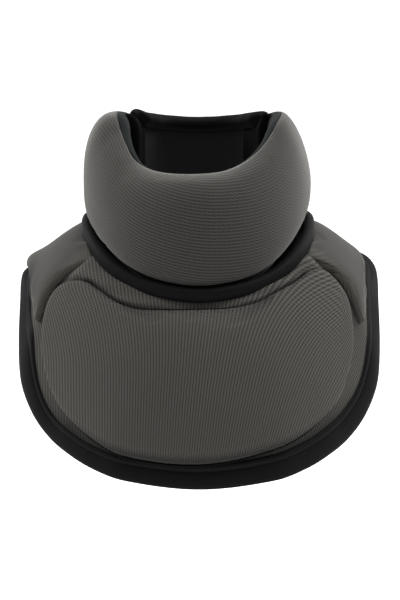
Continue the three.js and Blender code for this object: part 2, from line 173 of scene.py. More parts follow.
def read(table, name, turn):
    """One column of a table at a turn, or at an array of turns."""
    turns = np.asarray(table["turn"], float)
    values = np.asarray(table[name], float)
    slopes = np.empty(len(turns))
    slopes[1:-1] = (values[2:] - values[:-2]) / (turns[2:] - turns[:-2])
    slopes[0] = 0 if values[0] != 0 else (values[1] - values[0]) / (turns[1] - turns[0])
    slopes[-1] = (values[-1] - values[-2]) / (turns[-1] - turns[-2])
    i = np.clip(np.searchsorted(turns, turn) - 1, 0, len(turns) - 2)
    width = turns[i + 1] - turns[i]
    t = np.clip((turn - turns[i]) / width, 0, 1)
    ease = t * t * (3 - 2 * t)
    bend = width * t * (1 - t) * ((1 - t) * slopes[i] - t * slopes[i + 1])
    return (1 - ease) * values[i] + ease * values[i + 1] + bend


def polar(turn, radius, height):
    """Points at a turn in degrees, a radius from the neck's axis and a height."""
    angle = np.radians(turn)
    x, y = radius * np.sin(angle), -radius * np.cos(angle)
    return np.stack(np.broadcast_arrays(x, y, height), -1)


def ramp(past, width):
    """0 up to a line and 1 from a width past it, where past is the distance past the line."""
    return np.clip(past / width, 0, 1)


def bell(turn, centre, width):
    """A smooth bump that is 1 at its centre."""
    return np.exp(-(((turn - centre) / width) ** 2))


def neckline_radius(turn):
    return (PAD_INNER + COLLAR_WALL) * read(NECKLINE, "girth", np.abs(turn))


def neckline_height(turn):
    return -NECK_DIP * read(NECKLINE, "seat", np.abs(turn))


def rim_height(turn):
    return COLLAR_RISE * read(COLLAR, "rim", turn)


print("throat dips to", round(float(neckline_height(0.0)), 4))

# %% Measures of the bib
BIB_HALF_WIDTH = 0.162
BIB_REACH = 0.155
BACK_REACH = 0.067
BIB_DROP = 0.2046
BIB_END = 133
PANEL_THICKNESS = 0.005
NECK_TUCK = 0.009
BIB_SINK = 0.0015
EDGE_LIP = 0.003
REAR_RISE_LEFT = 0.011
REAR_RISE_RIGHT = 0.021

BIB = {
    "turn": [0, 24, 36, 46, 55, 63, 70, 76, 86, 96, 101, 107, 115, 122, 128, 133],
    "side": [0, 0.394, 0.57, 0.702, 0.809, 0.902, 0.969, 0.988, 0.991, 0.994, 0.963, 0.885, 0.772,
             0.639, 0.525, 0.438],
    "front": [1, 0.925, 0.819, 0.708, 0.592, 0.48, 0.368, 0.257, 0.072, 0, 0, 0, 0, 0, 0, 0],
    "back": [0, 0, 0, 0, 0, 0, 0, 0, 0, 0.252, 0.452, 0.655, 0.87, 0.965, 0.992, 0.987],
    "drop": [1, 0.982, 0.956, 0.919, 0.875, 0.8, 0.69, 0.56, 0.39, 0.345, 0.335, 0.32, 0.285, 0.23,
             0.165, 0.11],
    "out": [0.66, 0.66, 0.67, 0.69, 0.72, 0.76, 0.8, 0.84, 0.85, 0.84, 0.82, 0.78, 0.72, 0.66, 0.6,
            0.55],
    "down": [0.15, 0.15, 0.15, 0.15, 0.16, 0.18, 0.22, 0.45, 0.64, 0.71, 0.73, 0.74, 0.72, 0.68,
             0.62, 0.58],
}


def bib_corners(turn):
    """Start, bend and end of the bib's arch at each turn."""
    turn = np.asarray(turn, float)
    half = np.abs(turn)
    start = polar(turn, neckline_radius(turn) - NECK_TUCK, neckline_height(turn) - BIB_SINK)
    end = np.stack(
        [
            np.sign(turn) * BIB_HALF_WIDTH * read(BIB, "side", half),
            BACK_REACH * read(BIB, "back", half) - BIB_REACH * read(BIB, "front", half),
            -BIB_DROP * read(BIB, "drop", half),
        ],
        -1,
    )
    out = read(BIB, "out", half)[..., None]
    down = read(BIB, "down", half)[..., None]
    share = np.concatenate([out, out, down], -1)
    return start, start + share * (end - start), end


def bib_surface(turn, run):
    """The bib's upper face: run goes from 0 at the neckline to 1 at the outer edge."""
    start, bend, end = bib_corners(turn)
    t = np.asarray(run, float)[..., None]
    points = (1 - t) ** 2 * start + 2 * t * (1 - t) * bend + t * t * end
    turn = np.asarray(turn, float)
    raised = REAR_RISE_RIGHT * bell(turn, 105, 12) + REAR_RISE_LEFT * bell(turn, -101, 9)
    return points + raised[..., None] * t * t * np.array([0.0, 0.0, 1.0])


def bib_point(turn, run, height):
    """A point at a height over the bib's upper face."""
    turn, run, height = np.broadcast_arrays(
        np.asarray(turn, float), np.asarray(run, float), np.asarray(height, float)
    )
    start, bend, end = bib_corners(turn)
    t = run[..., None]
    along = (1 - t) * (bend - start) + t * (end - bend)
    across = bib_surface(turn + 0.4, run) - bib_surface(turn - 0.4, run)
    normal = -np.cross(across, along)
    normal /= np.linalg.norm(normal, axis=-1, keepdims=True)
    return bib_surface(turn, run) + normal * height[..., None]


LAP = {
    "turn": [-133, -112, -100, -86, -76, -70, -66, -62, -56, -46, -32, -16, 0, 18, 34, 46, 54, 62,
             66, 70, 76, 84, 92, 102, 112, 133],
    "run": [0.8, 0.79, 0.77, 0.745, 0.72, 0.74, 0.82, 0.88, 0.915, 0.925, 0.925, 0.92, 0.918, 0.915,
            0.91, 0.905, 0.895, 0.87, 0.835, 0.775, 0.71, 0.7, 0.72, 0.76, 0.79, 0.8],
}


def edge_runs(turn):
    """Runs where the edge binding starts and where the panel ends."""
    start, bend, end = bib_corners(turn)
    per_metre = 1 / (2 * np.linalg.norm(end - bend, axis=-1))
    return read(LAP, "run", turn), 1 - EDGE_LIP * per_metre


print("hem at", np.round(bib_surface(0.0, 1.0), 4))

# %% [markdown]
# ## Cloth that knows its grain
#
# The knit's ribs follow the cut of the cloth and not the room, so each piece carries a UV map whose
# unit is the metre: U runs across the ribs and V along them. The helpers here build meshes from
# rings of points and write that map at the same time.

# %% Mesh helpers
CAP_ANGLES = (0.5, 0.95, 1.3)


def new_piece(name, points, faces, weave):
    """A smooth mesh object at the origin. weave gives U and V for each corner of each face."""
    mesh = bpy.data.meshes.new(name)
    mesh.from_pydata([tuple(p) for p in points], [], [tuple(f) for f in faces])
    layer = mesh.uv_layers.new(name="weave")
    layer.data.foreach_set("uv", np.asarray(weave, float).ravel())
    mesh.polygons.foreach_set("use_smooth", [True] * len(mesh.polygons))
    return new_object(name, mesh)


def face_out(piece):
    """Turn every face outwards."""
    work = bmesh.new()
    work.from_mesh(piece.data)
    bmesh.ops.recalc_face_normals(work, faces=work.faces)
    if work.calc_volume(signed=True) < 0:
        bmesh.ops.reverse_faces(work, faces=work.faces)
    work.to_mesh(piece.data)
    work.free()
    return piece


def point_values(piece, name, values):
    """Store a number for each point of a mesh, for its material to read."""
    piece.data.attributes.new(name, "FLOAT", "POINT").data.foreach_set("value", values)


def loft(name, rings, across, along, round_ends=0.0):
    """A closed skin through rings of points, each a closed section.

    across and along hold U and V at the points of each ring, with one more value than the ring has
    points, for the seam where the section closes. round_ends bulges the two ends by that length.
    """
    rings, across, along = list(rings), list(across), list(along)
    if round_ends:
        for end, next_in in ((0, 1), (-1, -2)):
            ring, middle = rings[end], rings[end].mean(0)
            step = (ring - rings[next_in]).mean(0)
            heading = step / np.linalg.norm(step)
            for angle in CAP_ANGLES:
                shrunk = middle + (ring - middle) * math.cos(angle)
                place = 0 if end == 0 else len(rings)
                rings.insert(place, shrunk + heading * round_ends * math.sin(angle))
                across.insert(place, across[end])
                along.insert(place, along[end])
    size = len(rings[0])
    points = list(np.concatenate(rings))
    faces, weave = [], []
    for r in range(len(rings) - 1):
        for i in range(size):
            j = (i + 1) % size
            faces.append((r * size + i, r * size + j, (r + 1) * size + j, (r + 1) * size + i))
            for ring, k in ((r, i), (r, i + 1), (r + 1, i + 1), (r + 1, i)):
                weave.append((across[ring][k], along[ring][k]))
    for r in (0, len(rings) - 1):
        points.append(rings[r].mean(0))
        middle = (float(np.mean(across[r])), float(np.mean(along[r])))
        for i in range(size):
            j = (i + 1) % size
            faces.append((r * size + i, r * size + j, len(points) - 1))
            weave += [(across[r][i], along[r][i]), (across[r][i + 1], along[r][i + 1]), middle]
    return face_out(new_piece(name, points, faces, weave))


def strip(name, turns, rings, girth, radius, round_ends=0.0):
    """A loft of plain cloth: U spans one girth in each section and V follows the turns."""
    size = len(rings[0]) + 1
    across = [np.linspace(0, girth, size)] * len(rings)
    along = [np.full(size, math.radians(turn) * radius) for turn in turns]
    return loft(name, rings, across, along, round_ends)


def even_section(points, count):
    """A closed section resampled to equal steps, with the length walked at each point."""
    closed = np.concatenate([points, points[:1]])
    walked = np.concatenate([[0], np.cumsum(np.linalg.norm(np.diff(closed, axis=0), axis=1))])
    at = np.linspace(0, walked[-1], count + 1)
    return np.stack([np.interp(at, walked, closed[:, k]) for k in range(2)], 1)[:-1], at


def quarter_oval(power, count):
    angle = np.linspace(0, np.pi / 2, count)
    return np.cos(angle) ** (2 / power), np.sin(angle) ** (2 / power)


def finish(piece, node, material, fine=0):
    """Hand a finished piece to the frame: its material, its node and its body."""
    if material is not None:
        piece.data.materials.clear()
        piece.data.materials.append(material)
    if fine:
        smooth = piece.modifiers.new("fine", "SUBSURF")
        smooth.levels = smooth.render_levels = fine
    if node:
        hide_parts(node)
    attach(piece, "root")


# %% [markdown]
# ## Padding
#
# A foam pad pushes its cover out until the seams hold it. Blender's cloth solver does just that:
# the underside and the seams are pinned, pressure fills the cover, and a cap keeps each point near
# the pattern. Working on the mesh itself keeps its UV map, which a remesh would throw away.

# %% Padding helper
PUFF_FRAMES = 18


def puff(piece, held, pressure, cap, slack):
    """Fill a cover with air, pinned at the held points, and keep the settled shape."""
    rest = np.empty(len(piece.data.vertices) * 3)
    piece.data.vertices.foreach_get("co", rest)
    seam = piece.vertex_groups.new(name="seam")
    seam.add([int(i) for i in held], 1.0, "REPLACE")
    cloth = piece.modifiers.new("padding", "CLOTH")
    cover = cloth.settings
    cover.quality = 6
    cover.mass = 0.2
    cover.tension_stiffness = cover.compression_stiffness = 18
    cover.bending_stiffness = 1.2
    cover.air_damping = 4
    cover.shrink_min = -slack
    cover.use_pressure = True
    cover.uniform_pressure_force = pressure
    cover.vertex_group_mass = "seam"
    cover.effector_weights.gravity = 0
    cloth.collision_settings.use_collision = False
    cloth.point_cache.frame_start, cloth.point_cache.frame_end = 1, PUFF_FRAMES
    scene = bpy.context.scene
    for step in range(1, PUFF_FRAMES + 1):
        scene.frame_set(step)
    settled = piece.evaluated_get(bpy.context.evaluated_depsgraph_get())
    now = np.empty_like(rest)
    settled.data.vertices.foreach_get("co", now)
    move = (now - rest).reshape(-1, 3)
    length = np.linalg.norm(move, axis=1, keepdims=True)
    keep = np.where(length > 0, cap * np.tanh(length / cap) / np.maximum(length, 1e-9), 0)
    piece.modifiers.remove(cloth)
    piece.vertex_groups.remove(seam)
    piece.data.vertices.foreach_set("co", (rest.reshape(-1, 3) + move * keep).ravel())
    piece.data.update()
    scene.frame_set(1)
    print(piece.name, "moved by up to", round(float((length * keep).max()) * 1000, 1), "mm")


# %% [markdown]
# ## Effects that several cloths share
#
# Three effects come back on more than one cloth, so each is a node group: the ribs and stitches of
# the knit, the fine grain of woven cloth, and the slight unevenness of dye and handling. A group
# puts out only colours, masks and heights; each material keeps its own shader.

# %% Node helpers
class Tree:
    """A short way to place and join nodes."""

    def __init__(self, tree):
        self.tree = tree

    def node(self, kind, settings=None, **inputs):
        node = self.tree.nodes.new(kind)
        for name, value in (settings or {}).items():
            setattr(node, name, value)
        for name, value in inputs.items():
            self.feed(node.inputs[name.replace("_", " ")], value)
        return node

    def feed(self, socket, value):
        if isinstance(value, bpy.types.NodeSocket):
            self.tree.links.new(value, socket)
        else:
            socket.default_value = value

    def math(self, operation, *values):
        node = self.tree.nodes.new("ShaderNodeMath")
        node.operation = operation
        for socket, value in zip(node.inputs, values):
            self.feed(socket, value)
        return node.outputs[0]

    def mix(self, share, first, second):
        # The mix node's colour sockets are its inputs 6 and 7 and its output 2.
        node = self.tree.nodes.new("ShaderNodeMix")
        node.data_type = "RGBA"
        self.feed(node.inputs[0], share)
        self.feed(node.inputs[6], first)
        self.feed(node.inputs[7], second)
        return node.outputs[2]

    def noise(self, vector, scale, detail=2.0, roughness=0.5):
        inputs = {"Vector": vector, "Scale": scale, "Detail": detail, "Roughness": roughness}
        return self.node("ShaderNodeTexNoise", **inputs).outputs[0]


def effect(name, inputs, outputs, kind="ShaderNodeTree"):
    """A new node group with named inputs and outputs."""
    group = bpy.data.node_groups.new(name, kind)
    for label, socket_type, value in inputs:
        socket = group.interface.new_socket(label, in_out="INPUT", socket_type=socket_type)
        if value is not None:
            socket.default_value = value
    for label, socket_type in outputs:
        group.interface.new_socket(label, in_out="OUTPUT", socket_type=socket_type)
    return group, Tree(group), group.nodes.new("NodeGroupInput"), group.nodes.new("NodeGroupOutput")

# %% Ribs and stitches of the knit
ribbed_knit, t, given, result = effect(
    "ribbed_knit",
    [
        ("Weave", "NodeSocketVector", None),
        ("Rib Width", "NodeSocketFloat", 0.0028),
        ("Stitch Length", "NodeSocketFloat", 0.0022),
        ("Stitch Share", "NodeSocketFloat", 0.4),
        ("Hatch Share", "NodeSocketFloat", 0.0),
        ("Unevenness", "NodeSocketFloat", 0.14),
    ],
    [("Shade", "NodeSocketFloat"), ("Height", "NodeSocketFloat")],
)
split = t.node("ShaderNodeSeparateXYZ", Vector=given.outputs["Weave"])
wander = t.noise(given.outputs["Weave"], 60.0, 2.0)
sway = t.math("MULTIPLY", t.math("SUBTRACT", wander, 0.5), given.outputs["Unevenness"])
ribs = t.math("ADD", t.math("DIVIDE", split.outputs[0], given.outputs["Rib Width"]), sway)
stitches = t.math("ADD", t.math("DIVIDE", split.outputs[1], given.outputs["Stitch Length"]), sway)
rib_wave = t.math("COSINE", t.math("MULTIPLY", ribs, 2 * math.pi))
stitch_wave = t.math("COSINE", t.math("MULTIPLY", stitches, 2 * math.pi))
staggered = t.math("MULTIPLY", rib_wave, stitch_wave)
carved = t.math("SUBTRACT", staggered, rib_wave)
stitched = t.math("MULTIPLY", carved, given.outputs["Stitch Share"])
slanted = t.math("ADD", ribs, t.math("MULTIPLY", stitches, 0.6))
hatch_wave = t.math("COSINE", t.math("MULTIPLY", slanted, 2 * math.pi))
hatched = t.math("MULTIPLY", t.math("SUBTRACT", hatch_wave, rib_wave), given.outputs["Hatch Share"])
weave_wave = t.math("ADD", rib_wave, t.math("ADD", stitched, hatched))
height = t.math("MULTIPLY_ADD", weave_wave, 0.5, 0.5)
t.feed(result.inputs["Height"], height)
t.feed(result.inputs["Shade"], t.math("POWER", t.math("SUBTRACT", 1.0, height), 1.4))
print("made", ribbed_knit.name)

# %% Grain of plain cloth
cloth_grain, t, given, result = effect(
    "cloth_grain",
    [("Place", "NodeSocketVector", None), ("Thread", "NodeSocketFloat", 0.0007)],
    [("Threads", "NodeSocketFloat"), ("Height", "NodeSocketFloat")],
)
scale = t.math("DIVIDE", 1.0, given.outputs["Thread"])
threads = t.noise(given.outputs["Place"], scale, 2.0, 0.6)
pucker = t.noise(given.outputs["Place"], 60.0, 3.0)
t.feed(result.inputs["Threads"], threads)
t.feed(result.inputs["Height"], t.math("ADD", t.math("MULTIPLY", threads, 0.5), pucker))
print("made", cloth_grain.name)

# %% Unevenness of dye and handling
worn_dye, t, given, result = effect(
    "worn_dye",
    [
        ("Color", "NodeSocketColor", (0.1, 0.1, 0.1, 1)),
        ("Place", "NodeSocketVector", None),
        ("Amount", "NodeSocketFloat", 0.12),
    ],
    [("Color", "NodeSocketColor")],
)
clouds = t.noise(given.outputs["Place"], 14.0, 3.0, 0.55)
fluff = t.noise(given.outputs["Place"], 700.0, 2.0, 0.7)
lint = t.math("MULTIPLY", t.math("SUBTRACT", fluff, 0.5), 1.3)
drift = t.math("ADD", t.math("SUBTRACT", clouds, 0.5), lint)
gain = t.math("MULTIPLY_ADD", drift, given.outputs["Amount"], 1.0)
tinted = t.node("ShaderNodeVectorMath", {"operation": "SCALE"})
t.feed(tinted.inputs[0], given.outputs["Color"])
t.feed(tinted.inputs["Scale"], gain)
t.feed(result.inputs["Color"], tinted.outputs[0])
print("made", worn_dye.name)

# %% [markdown]
# ## The cloths
#
# The grey knit of chest pad and bib has pale ridges with small dark holes between them. The
# collar's knit is flatter, and the shoulder pads' is smooth until it is stretched. Such changes
# within one cloth are painted on the mesh, as numbers that the material reads, and so is painted
# shade: at the chest pad's seam, at the bib's hem, under the collar and in the edge binding's
# groove. The bindings are a smooth black stretch cloth, the band is black neoprene, and the lining
# is a slate jersey. The band's neoprene is painted lighter and the roll's darker, as light and
# shade.

# %% Materials
def cloth_material(name, roughness, sheen, gloss, sheen_tint=(0.6, 0.6, 0.6)):
    material = bpy.data.materials.new(name)
    material.use_nodes = True
    shader = material.node_tree.nodes["Principled BSDF"]
    set_inputs(
        shader, Roughness=roughness, Specular_IOR_Level=gloss, Sheen_Weight=sheen,
        Sheen_Roughness=0.5, Sheen_Tint=(*sheen_tint, 1),
    )
    return material, Tree(material.node_tree), shader


def group_node(tree, group, **inputs):
    return tree.node("ShaderNodeGroup", {"node_tree": group}, **inputs)


def dye_and_bump(tree, shader, color, place, dye, height, strength, relief):
    """Join a cloth's colour and height to its shader."""
    dyed = group_node(tree, worn_dye, Color=color, Place=place, Amount=dye)
    tree.feed(shader.inputs["Base Color"], dyed.outputs["Color"])
    bump = tree.node("ShaderNodeBump", Height=height, Strength=strength, Distance=relief)
    tree.feed(shader.inputs["Normal"], bump.outputs[0])


def knit_material(name, ridge, hole, rib, stitch, share, relief, sheen, hatch=0.0):
    material, tree, shader = cloth_material(name, 0.88, sheen, 0.06, (0.9, 0.89, 0.86))
    weave = tree.node("ShaderNodeUVMap", {"uv_map": "weave"}).outputs[0]
    place = tree.node("ShaderNodeTexCoord").outputs["Object"]
    knit = group_node(
        tree, ribbed_knit, Weave=weave, Rib_Width=rib, Stitch_Length=stitch, Stitch_Share=share,
        Hatch_Share=hatch,
    )
    base = tree.mix(knit.outputs["Shade"], (*ridge, 1), (*hole, 1))
    dye_and_bump(tree, shader, base, place, 0.14, knit.outputs["Height"], 0.9, relief)
    return material


def plain_material(name, color, roughness, sheen, gloss, thread, relief):
    material, tree, shader = cloth_material(name, roughness, sheen, gloss)
    place = tree.node("ShaderNodeTexCoord").outputs["Object"]
    grain = group_node(tree, cloth_grain, Place=place, Thread=thread)
    dye_and_bump(tree, shader, (*color, 1), place, 0.2, grain.outputs["Height"], 0.5, relief)
    return material


def deepen(material, attribute, power, ridge, hole):
    """Change a knit towards other colours where an attribute of the mesh grows to 1."""
    tree = Tree(material.node_tree)
    groups = {n.node_tree.name: n for n in material.node_tree.nodes if n.type == "GROUP"}
    amount = tree.node("ShaderNodeAttribute", {"attribute_name": attribute}).outputs["Fac"]
    dye = groups["worn_dye"].inputs["Color"]
    deep = tree.mix(groups["ribbed_knit"].outputs["Shade"], (*ridge, 1), (*hole, 1))
    tree.feed(dye, tree.mix(tree.math("POWER", amount, power), dye.links[0].from_socket, deep))


grey_knit = knit_material(
    "grey_knit", (0.094, 0.09, 0.0815), (0.0062, 0.0062, 0.0058),
    rib=0.0024, stitch=0.0018, share=0.5, relief=0.0006, sheen=0.09,
)
# Painted shade: the knit darkens where the mesh's "wall" number grows, at the chest pad's seam and
# the bib's hem.
deepen(grey_knit, "wall", 1.1, (0.015, 0.0145, 0.0135), (0.0095, 0.0093, 0.009))
collar_knit = knit_material(
    "collar_knit", (0.06, 0.057, 0.052), (0.011, 0.0105, 0.0098),
    rib=0.0028, stitch=0.0024, share=0.15, relief=0.00025, sheen=0.3, hatch=0.28,
)
deepen(collar_knit, "calm", 1.0, (0.037, 0.0353, 0.0322), (0.032, 0.0305, 0.028))
# Painted shade: the knit goes near black where the cover turns under the collar.
deepen(collar_knit, "under", 1.0, (0.003, 0.003, 0.003), (0.002, 0.002, 0.002))
smooth_knit = knit_material(
    "smooth_knit", (0.0385, 0.037, 0.0345), (0.034, 0.0327, 0.0305),
    rib=0.0022, stitch=0.0019, share=0.75, relief=0.00003, sheen=0.14,
)
deepen(smooth_knit, "wall", 1.4, (0.118, 0.112, 0.1), (0.0095, 0.0095, 0.009))

BINDING_LOOK = ((0.0046, 0.0046, 0.0048), 0.55, 0.015, 0.06, 0.0006, 0.0006)
black_binding = plain_material("black_binding", *BINDING_LOOK)
grooved_binding = plain_material("grooved_binding", *BINDING_LOOK)
groove_tree = Tree(grooved_binding.node_tree)
groove_shade = groove_tree.node("ShaderNodeAttribute", {"attribute_name": "groove"}).outputs["Fac"]
groove_dye = grooved_binding.node_tree.nodes["Principled BSDF"].inputs["Base Color"]
plain_dye = groove_dye.links[0].from_socket
# Painted shade: near black along the groove, by the mesh's "groove" number.
groove_tree.feed(groove_dye, groove_tree.mix(groove_shade, plain_dye, (0.0003, 0.0003, 0.0003, 1)))

# One neoprene, in two copies: the band's (also on the tab) is painted lighter, as light, where it
# stands in shade, and the roll's (also on the flaps) is painted darker, as shade, where light falls
# on it from above.
neoprene = plain_material("neoprene", (0.017, 0.017, 0.0174), 0.6, 0.0, 0.06, 0.0009, 0.0004)
shaded_neoprene = plain_material("shaded_neoprene", (0.0035, 0.0035, 0.0037), 0.6, 0.0, 0.03, 0.0009, 0.0004)
slate_lining = plain_material(
    "slate_lining", (0.0068, 0.0085, 0.0087), 0.85, 0.07, 0.06, 0.0008, 0.0004
)
black_thread = plain_material("black_thread", (0.002, 0.002, 0.002), 0.5, 0.02, 0.1, 0.0004, 0.0001)
print("materials:", [m.name for m in bpy.data.materials])

# %% [markdown]
# ## Collar pad
#
# The collar is one long foam block, tucked in at the foot and rolled in at the rim. Its section
# changes all the way round, so it is lofted through sections; the ribs run round it and climb a
# little from one end to the other. Where the cover turns under, its knit is painted near black as
# shade ("under"), and towards one side and the rim the pattern fades ("calm").

# %% Collar section
COLLAR_SINK = 0.0012
WAIST_LIFT = 0.007
WAIST_SHARE = 0.33
RIM_LEDGE = 0.006
RIM_SEAM_DROP = 0.0025
FOOT_TUCK = 0.014
FLANK_SWELL = 0.006
HEEL_GAP = 0.001


def end_share(turn):
    """The share of its bulge that the collar keeps as it rounds off at the two ends."""
    past = np.maximum(np.abs(turn) - (COLLAR_END - END_ROUNDING), 0) / END_ROUNDING
    return math.sqrt(1 - 0.9 * past * past)


def flank(turn):
    """Where the collar bulges most."""
    return bell(turn, -72, 22)


def inner_wall(turn, offset, count=14):
    """The line up the inside of the collar and over to the rim's seam."""
    foot = float(neckline_height(turn)) - COLLAR_SINK
    spring = float(rim_height(turn)) - RIM_ROLL
    across, up = quarter_oval(2, count)
    upright = [(PAD_INNER - offset, h) for h in np.linspace(foot, spring, 10)[:-1]]
    roll = [
        (RIM_SEAM - (RIM_INSET + offset) * a, spring + (RIM_ROLL - RIM_SEAM_DROP + offset) * b)
        for a, b in zip(across, up)
    ]
    return upright + roll


def collar_section(turn):
    """The closed section from the heel round the outside to the rim and down the inside."""
    waist_foot = float(neckline_height(turn)) + WAIST_LIFT
    rim = float(rim_height(turn))
    full = PAD_INNER + COLLAR_WALL * float(read(COLLAR, "bulge", turn))
    bulge = RIM_SEAM + RIM_LEDGE + (full - RIM_SEAM - RIM_LEDGE) * end_share(turn)
    tuck = max(bulge - FOOT_TUCK + FLANK_SWELL * flank(turn), RIM_SEAM)
    waist = waist_foot + WAIST_SHARE * (rim - waist_foot)
    across, up = quarter_oval(float(read(COLLAR, "fullness", turn)), 26)
    upper = [
        (RIM_SEAM + (bulge - RIM_SEAM) * a, waist + (rim - waist) * b) for a, b in zip(across, up)
    ]
    across, down = quarter_oval(2.7 + 0.8 * flank(turn), 18)
    lower = [
        (tuck + (bulge - tuck) * a, waist + (waist_foot - waist) * b) for a, b in zip(across, down)
    ]
    heel = min(tuck - 0.002, float(neckline_radius(turn)) - NECK_TUCK - HEEL_GAP)
    walk = [(heel, float(neckline_height(turn)) - COLLAR_SINK)] + lower[::-1] + upper[1:]
    return np.array(walk + inner_wall(turn, 0)[::-1])


print("collar section at the throat:", len(collar_section(0.0)), "points")

# %% Collar pad
SECTION_POINTS = 84
RIB_TILT = 0.12
RIB_START = 0.009
RIB_RADIUS = 0.095
SHADED_UNDERSIDE = 0.012
UNDER_SHADE_FADE = 0.0015

collar_turns = np.linspace(-COLLAR_END, COLLAR_END, 150)
rings, across, along = [], [], []
painted = {"under": [], "calm": []}
for turn in collar_turns:
    section, walked = even_section(collar_section(turn), SECTION_POINTS)
    sweep = math.radians(turn) * RIB_RADIUS
    rings.append(polar(turn, section[:, 0], section[:, 1]))
    across.append(walked - RIB_START + RIB_TILT * sweep)
    along.append(np.full(SECTION_POINTS + 1, sweep))
    # Painted shade on the underside, up to a walked length from the heel.
    painted["under"].append(ramp(SHADED_UNDERSIDE + 0.005 * flank(turn) - walked[:-1], UNDER_SHADE_FADE))
    rise = section[:, 1] / float(rim_height(turn))
    calm = 0.75 * ramp(turn - 12, 45) + 0.5 * ramp(rise - 0.7, 0.25)
    painted["calm"].append(np.clip(calm, 0, 0.85))
collar = loft("collar_cover", rings, across, along, round_ends=0.003)
points = np.array([v.co for v in collar.data.vertices])
radius = np.hypot(points[:, 0], points[:, 1])
turns = np.degrees(np.arctan2(points[:, 0], -points[:, 1]))
held = np.where((radius < RIM_SEAM + 0.001) | (points[:, 2] < neckline_height(turns) + 0.008))[0]
puff(collar, held, 1.3, 0.0011, slack=0.004)
for label, rows in painted.items():
    caps = len(CAP_ANGLES)
    rows = [rows[0]] * caps + rows + [rows[-1]] * caps
    point_values(collar, label, np.append(np.concatenate(rows), [rows[0].mean(), rows[-1].mean()]))
finish(collar, "collar_pad", collar_knit)
print("collar cover:", len(collar.data.polygons), "faces")

# %% [markdown]
# ## Collar lining
#
# The lining is a thin slate cloth that the foam holds tight. It covers the inside wall and rolls
# over to the rim seam, so it is the same wall line twice, a cloth's thickness apart.

# %% Collar lining
rings = []
for turn in collar_turns:
    back = np.array(inner_wall(turn, CLEARANCE))
    face = np.array(inner_wall(turn, CLEARANCE + LINING_THICKNESS))
    walk = np.concatenate([back, face[::-1]])
    walk[:, 0] = np.minimum(walk[:, 0], RIM_SEAM - CLEARANCE)
    rings.append(polar(turn, walk[:, 0], walk[:, 1]))
lining = strip("lining_cloth", collar_turns, rings, 0.2, 0.063)
finish(lining, "collar_lining", slate_lining)
print("lining:", len(lining.data.polygons), "faces")

# %% [markdown]
# ## Bib panel
#
# The panel is padded cloth, knit above and black cloth below. It is made as a closed shell: the
# upper face from the neckline to the edge, and the lower face back again. U is taken from the
# distance to the middle line and V from the height, so the ribs stand nearly upright. They lean a
# little to one side, as the photographed knit does, and the pads use the same map.

# %% Bib panel
LOBE = 0.108


def chest_weave(points):
    """U and V of the knit on the bib. The ribs lean to the right, and more so on the right."""
    x, y, z = points[..., 0], points[..., 1], points[..., 2]
    behind = np.maximum(y + 0.06, 0)
    side = np.hypot(x, 0.8 * behind) * np.sign(x)
    lobe = np.clip(side / LOBE, -1.15, 1.15)
    high = ramp(z + 0.11, 0.06)
    lean = 0.12 + 0.24 * lobe + 0.11 * lobe * lobe
    lean = lean + high * (0.22 * np.minimum(lobe, 0) + 0.22 * np.maximum(lobe, 0) ** 2)
    stretched = side - LOBE * lobe * (0.037 * lobe + 0.046 * lobe * lobe)
    along = 1.06 * z + 0.9 * behind
    return stretched - (np.minimum(z, -0.02) + 0.12) * lean, along + 0.12 * x


CREASE = {
    "turn": [-66, -60, -53, -45, -36, -28, -17.5, 0, 17, 30, 40, 48.5, 55, 60, 66],
    "run": [0.36, 0.3, 0.26, 0.255, 0.255, 0.235, 0.2, 0.17, 0.185, 0.185, 0.185, 0.195, 0.2, 0.22,
            0.28],
}
STRIP_HEIGHT = 0.0085
STRIP_FOLDS = 0.0007
THROAT_RUN = 0.34
TUCKED_ROWS = 5
HEM_SHADE_START = 0.74


def throat_puff(turn, run):
    """Height of the stuffed strip between the neck roll and the chest pad's upper crease."""
    crease = read(CREASE, "run", turn) - 0.003
    share = ramp(run - 0.03, crease - 0.03)
    reach = abs(turn)
    hump = (1 - np.exp(-share / 0.3)) * (1 - share**30 * np.clip((57 - reach) / 4, 0.25, 1))
    hump = hump * ramp(crease + 0.06 - run, 0.05)
    window = ramp(reach + 6, 44) * ramp(69 - reach, 9)
    folds = STRIP_FOLDS * np.sin(run * 45 - reach * 0.28) * window
    return (STRIP_HEIGHT * window * window * (3 - 2 * window) + folds) * hump


panel_turns = np.linspace(-BIB_END, BIB_END, 240)
laps, edges = edge_runs(panel_turns)
rings, across, along = [], [], []
for turn, edge in zip(panel_turns, edges):
    fine_runs = np.linspace(0, THROAT_RUN, 35)[:-1]
    runs = np.concatenate([fine_runs, np.linspace(THROAT_RUN, edge, 24)])
    inner = max(float(neckline_radius(turn)) - 0.025, PAD_INNER + 0.003)
    seat = float(neckline_height(turn)) - BIB_SINK
    ring = np.concatenate([
        [polar(turn, inner, seat)],
        bib_point(turn, runs, throat_puff(turn, runs)),
        bib_point(turn, runs[::-1], -PANEL_THICKNESS),
        [polar(turn, inner, seat - PANEL_THICKNESS)],
    ])
    u, v = chest_weave(ring)
    rings.append(ring)
    across.append(np.append(u, u[0]))
    along.append(np.append(v, v[0]))
panel = loft("bib_cloth", rings, across, along)
panel.data.materials.append(grey_knit)
panel.data.materials.append(black_binding)
ring_size = len(rings[0])
for face in panel.data.polygons:
    row = face.index % ring_size
    if face.index < ring_size * (len(rings) - 1) and (row > len(runs) or row < TUCKED_ROWS):
        face.material_index = 1
# Only the front's hem gets painted shade ("wall"), by row and not by run, so the last ring's runs
# do for all.
hem_shade_rows = 0.9 * ramp(np.append(0, runs) - HEM_SHADE_START, 0.08)
wall = np.zeros(len(panel.data.vertices))
for index, turn in enumerate(panel_turns):
    start = index * ring_size
    wall[start : start + len(hem_shade_rows)] = hem_shade_rows * ramp(68 - abs(turn), 20)
point_values(panel, "wall", wall)
finish(panel, "bib_panel", None)
print("bib panel:", len(panel.data.polygons), "faces")
